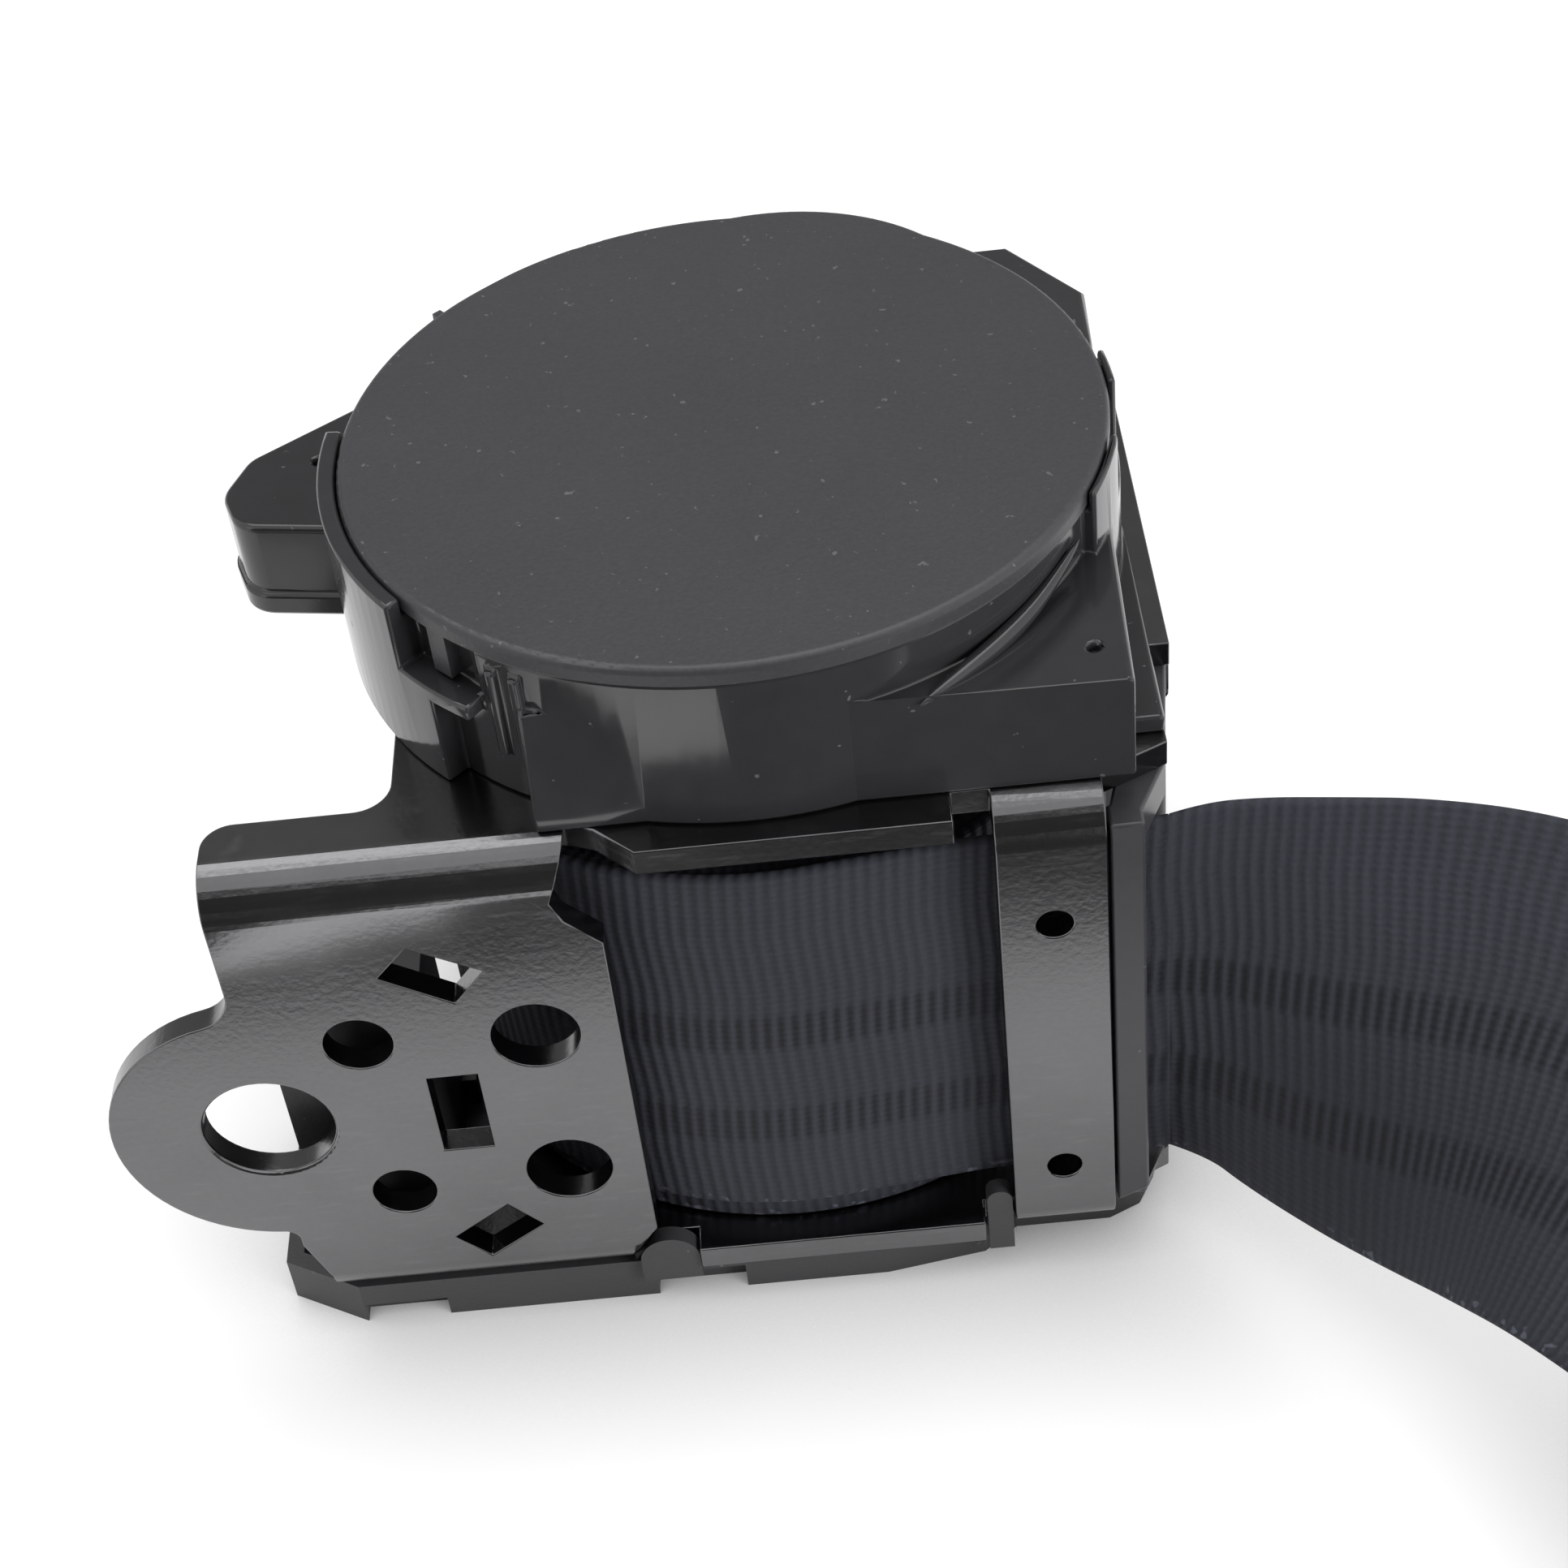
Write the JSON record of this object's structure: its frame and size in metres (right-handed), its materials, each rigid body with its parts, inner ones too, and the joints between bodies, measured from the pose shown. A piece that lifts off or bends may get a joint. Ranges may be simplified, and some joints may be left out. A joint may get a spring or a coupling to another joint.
{
  "type": "seat belt retractor with webbing",
  "caption": "Emergency-locking seat belt retractor: stamped frame, spring drum, wound webbing with tongue and end anchor.",
  "frame": {"origin": "bottom centre of the retractor's box, on the surface that it stands on; the free webbing and its fittings are left out", "axes": "+Z along the spool axis towards the spring cap, -Y out of the mounting plate, +X the way the webbing leaves"},
  "size_m": [0.3722, 0.3288, 0.0845],
  "materials": {
    "frame_steel": "matt grey coating",
    "cover_plastic": "fine grain",
    "housing_plastic": "smooth, glossy",
    "cap_plastic": "fine grain",
    "spool_plastic": "matt",
    "shaft_steel": "turned",
    "hard_steel": "hardened, stamped",
    "pilot_plastic": "natural white",
    "spring_steel": "blued strip and wire",
    "sensor_plastic": "natural white",
    "ball_steel": "polished",
    "guide_plastic": "smooth",
    "screw_steel": "zinc plated",
    "webbing": "woven polyester",
    "tongue_steel": "polished",
    "tongue_plastic": "fine grain",
    "anchor_steel": "black coating"
  },
  "bodies": {
    "retractor": {"frame": "frame_steel", "lower_cover": "cover_plastic", "mechanism_housing": "housing_plastic", "spring_cover": "cap_plastic", "pawl_pin": "shaft_steel", "pawl_spring": "spring_steel", "sensor_cup": "sensor_plastic", "mainspring": "spring_steel", "lower_bush": "sensor_plastic", "web_guide": "guide_plastic", "screws_low": "screw_steel", "screws_top": "screw_steel", "webbing_lead": "webbing", "webbing_free": "webbing", "webbing_flat": "webbing", "tongue_plate": "tongue_steel", "tongue_cover": "tongue_plastic", "tongue_stop": "tongue_plastic", "end_anchor": "anchor_steel"},
    "spool_set": {"spool": "spool_plastic", "torsion_shaft": "shaft_steel", "ratchet_wheel": "hard_steel", "pilot_wheel": "pilot_plastic", "spring_arbor": "pilot_plastic", "webbing_roll": "webbing"},
    "pawl": {"lock_pawl": "hard_steel"},
    "ball": {"sensor_ball": "ball_steel"},
    "lever": {"sensor_lever": "sensor_plastic"}
  },
  "joints": [
    {"name": "spool_spin", "type": "hinge", "parent": "retractor", "child": "spool_set", "pos_m": [0.013, 0.0009, 0.035], "axis": [0, 0, 1], "continuous": true},
    {"name": "pawl_pivot", "type": "hinge", "parent": "retractor", "child": "pawl", "pos_m": [0.0445, 0.0204, 0.0602], "axis": [0, 0, -1], "range_deg": [0, 10], "stiffness_Nm_per_rad": 0.02},
    {"name": "ball_roll", "type": "slide", "parent": "retractor", "child": "ball", "axis": [0.5736, -0.8192, 0], "range_m": [0, 0.002]},
    {"name": "lever_pivot", "type": "hinge", "parent": "retractor", "child": "lever", "pos_m": [-0.0244, 0.0141, 0.0695], "axis": [0, 0, 1], "range_deg": [0, 8.6]}
  ],
  "couplings": [
    {"joint": "lever_pivot", "follows": "ball_roll", "rad_per_m": 74.176}
  ]
}
